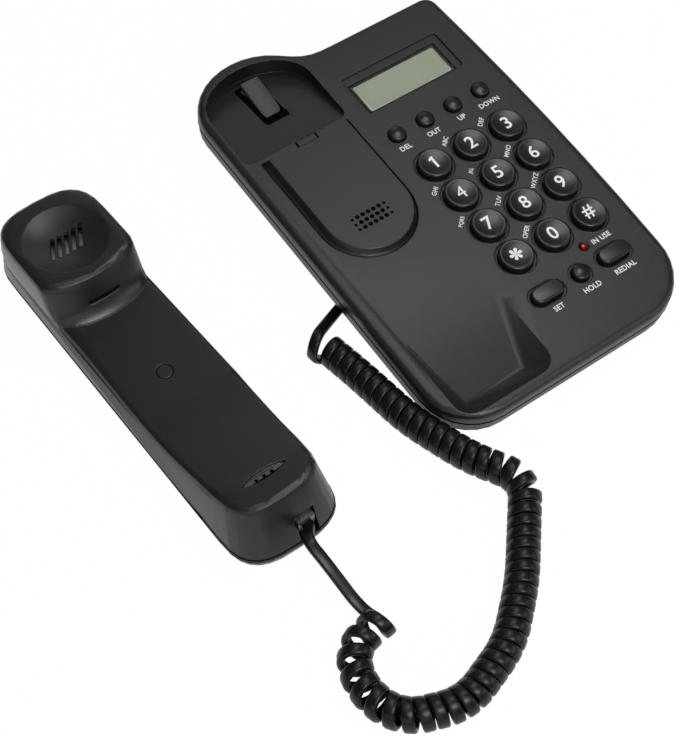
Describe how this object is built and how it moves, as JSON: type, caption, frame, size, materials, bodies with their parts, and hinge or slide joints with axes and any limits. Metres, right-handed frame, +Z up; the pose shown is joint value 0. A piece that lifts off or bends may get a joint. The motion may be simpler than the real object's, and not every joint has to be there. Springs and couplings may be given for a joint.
{
  "type": "corded telephone",
  "caption": "Corded desk telephone with dial keys, function buttons, tilted display and hook lever; handset lies beside the base on its curly cord.",
  "frame": {"origin": "on the table, under the middle of the box round the base and the handset", "axes": "+X to the user's right, +Y to the back of the base, +Z up"},
  "size_m": [0.2248, 0.286, 0.0351],
  "materials": {
    "black_plastic": "fine matt texture",
    "handset_plastic": "fine matt texture",
    "key_plastic": "satin",
    "lever_grey": "matt",
    "clear_plastic": "clear, polished",
    "display_glass": "grey-green liquid crystal panel",
    "board_green": "printed board",
    "mat_grey": "moulded key mat",
    "rubber": "matt",
    "steel": "plain steel",
    "foam": "soft foam ring",
    "jack_black": "moulded",
    "switch_black": "moulded",
    "plug_clear": "clear",
    "lamp_red": "clear red",
    "cord_black": "smooth vinyl"
  },
  "bodies": {
    "base": {"base_bottom_shell": "black_plastic", "base_plug": "plug_clear", "base_top_shell": "black_plastic", "case_screw_1": "steel", "case_screw_2": "steel", "case_screw_3": "steel", "case_screw_4": "steel", "cord_lead_base": "cord_black", "cord_lead_handset": "cord_black", "curly_cord": "cord_black", "display_board": "board_green", "display_panel": "display_glass", "display_window": "clear_plastic", "foot_1": "rubber", "foot_2": "rubber", "foot_3": "rubber", "foot_4": "rubber", "handset_jack": "jack_black", "hook_spring": "steel", "hook_switch": "switch_black", "in_use_lamp": "lamp_red", "key_mat": "mat_grey", "line_jack": "jack_black", "main_board": "board_green", "ringer_speaker": "steel"},
    "handset": {"handset_inner_shell": "handset_plastic", "handset_outer_shell": "handset_plastic", "handset_plug": "plug_clear", "handset_screw": "steel", "handset_socket": "jack_black", "handset_weight": "steel", "microphone": "steel", "receiver_capsule": "steel", "receiver_gasket": "foam", "screw_cover": "handset_plastic"},
    "hook_lever_body": {"hook_lever": "lever_grey"},
    "wall_hook_body": {"wall_hook": "black_plastic"},
    "key_0_body": {"key_0": "key_plastic"},
    "key_1_body": {"key_1": "key_plastic"},
    "key_2_body": {"key_2": "key_plastic"},
    "key_3_body": {"key_3": "key_plastic"},
    "key_4_body": {"key_4": "key_plastic"},
    "key_5_body": {"key_5": "key_plastic"},
    "key_6_body": {"key_6": "key_plastic"},
    "key_7_body": {"key_7": "key_plastic"},
    "key_8_body": {"key_8": "key_plastic"},
    "key_9_body": {"key_9": "key_plastic"},
    "key_hash_body": {"key_hash": "key_plastic"},
    "key_star_body": {"key_star": "key_plastic"},
    "button_delete_body": {"button_delete": "key_plastic"},
    "button_down_body": {"button_down": "key_plastic"},
    "button_hold_body": {"button_hold": "key_plastic"},
    "button_out_body": {"button_out": "key_plastic"},
    "button_redial_body": {"button_redial": "key_plastic"},
    "button_set_body": {"button_set": "key_plastic"},
    "button_up_body": {"button_up": "key_plastic"}
  },
  "joints": [
    {"name": "handset_lift", "type": "slide", "parent": "base", "child": "handset", "axis": [0, 0.5, 0.866], "range_m": [0, 0.06]},
    {"name": "hook_pivot", "type": "hinge", "parent": "base", "child": "hook_lever_body", "pos_m": [0.01755, 0.06732, 0.02142], "axis": [-1, 0, 0], "range_deg": [0, 9], "stiffness_Nm_per_rad": 0.02, "springref_deg": -11.46},
    {"name": "wall_hook_slide", "type": "slide", "parent": "base", "child": "wall_hook_body", "axis": [0, -0.1123, 0.9937], "range_m": [0, 0.006]},
    {"name": "key_0_press", "type": "slide", "parent": "base", "child": "key_0_body", "axis": [0, 0.1123, -0.9937], "range_m": [0, 0.0015], "stiffness_N_per_m": 300, "springref_m": -0.0005},
    {"name": "key_1_press", "type": "slide", "parent": "base", "child": "key_1_body", "axis": [0, 0.1123, -0.9937], "range_m": [0, 0.0015], "stiffness_N_per_m": 300, "springref_m": -0.0005},
    {"name": "key_2_press", "type": "slide", "parent": "base", "child": "key_2_body", "axis": [0, 0.1123, -0.9937], "range_m": [0, 0.0015], "stiffness_N_per_m": 300, "springref_m": -0.0005},
    {"name": "key_3_press", "type": "slide", "parent": "base", "child": "key_3_body", "axis": [0, 0.1123, -0.9937], "range_m": [0, 0.0015], "stiffness_N_per_m": 300, "springref_m": -0.0005},
    {"name": "key_4_press", "type": "slide", "parent": "base", "child": "key_4_body", "axis": [0, 0.1123, -0.9937], "range_m": [0, 0.0015], "stiffness_N_per_m": 300, "springref_m": -0.0005},
    {"name": "key_5_press", "type": "slide", "parent": "base", "child": "key_5_body", "axis": [0, 0.1123, -0.9937], "range_m": [0, 0.0015], "stiffness_N_per_m": 300, "springref_m": -0.0005},
    {"name": "key_6_press", "type": "slide", "parent": "base", "child": "key_6_body", "axis": [0, 0.1123, -0.9937], "range_m": [0, 0.0015], "stiffness_N_per_m": 300, "springref_m": -0.0005},
    {"name": "key_7_press", "type": "slide", "parent": "base", "child": "key_7_body", "axis": [0, 0.1123, -0.9937], "range_m": [0, 0.0015], "stiffness_N_per_m": 300, "springref_m": -0.0005},
    {"name": "key_8_press", "type": "slide", "parent": "base", "child": "key_8_body", "axis": [0, 0.1123, -0.9937], "range_m": [0, 0.0015], "stiffness_N_per_m": 300, "springref_m": -0.0005},
    {"name": "key_9_press", "type": "slide", "parent": "base", "child": "key_9_body", "axis": [0, 0.1123, -0.9937], "range_m": [0, 0.0015], "stiffness_N_per_m": 300, "springref_m": -0.0005},
    {"name": "key_hash_press", "type": "slide", "parent": "base", "child": "key_hash_body", "axis": [0, 0.1123, -0.9937], "range_m": [0, 0.0015], "stiffness_N_per_m": 300, "springref_m": -0.0005},
    {"name": "key_star_press", "type": "slide", "parent": "base", "child": "key_star_body", "axis": [0, 0.1123, -0.9937], "range_m": [0, 0.0015], "stiffness_N_per_m": 300, "springref_m": -0.0005},
    {"name": "button_delete_press", "type": "slide", "parent": "base", "child": "button_delete_body", "axis": [0, 0.1123, -0.9937], "range_m": [0, 0.0015], "stiffness_N_per_m": 300, "springref_m": -0.0005},
    {"name": "button_down_press", "type": "slide", "parent": "base", "child": "button_down_body", "axis": [0, 0.1123, -0.9937], "range_m": [0, 0.0015], "stiffness_N_per_m": 300, "springref_m": -0.0005},
    {"name": "button_hold_press", "type": "slide", "parent": "base", "child": "button_hold_body", "axis": [0, 0.1123, -0.9937], "range_m": [0, 0.0015], "stiffness_N_per_m": 300, "springref_m": -0.0005},
    {"name": "button_out_press", "type": "slide", "parent": "base", "child": "button_out_body", "axis": [0, 0.1123, -0.9937], "range_m": [0, 0.0015], "stiffness_N_per_m": 300, "springref_m": -0.0005},
    {"name": "button_redial_press", "type": "slide", "parent": "base", "child": "button_redial_body", "axis": [0, 0.1123, -0.9937], "range_m": [0, 0.0015], "stiffness_N_per_m": 300, "springref_m": -0.0005},
    {"name": "button_set_press", "type": "slide", "parent": "base", "child": "button_set_body", "axis": [0, 0.1123, -0.9937], "range_m": [0, 0.0015], "stiffness_N_per_m": 300, "springref_m": -0.0005},
    {"name": "button_up_press", "type": "slide", "parent": "base", "child": "button_up_body", "axis": [0, 0.1123, -0.9937], "range_m": [0, 0.0015], "stiffness_N_per_m": 300, "springref_m": -0.0005}
  ]
}
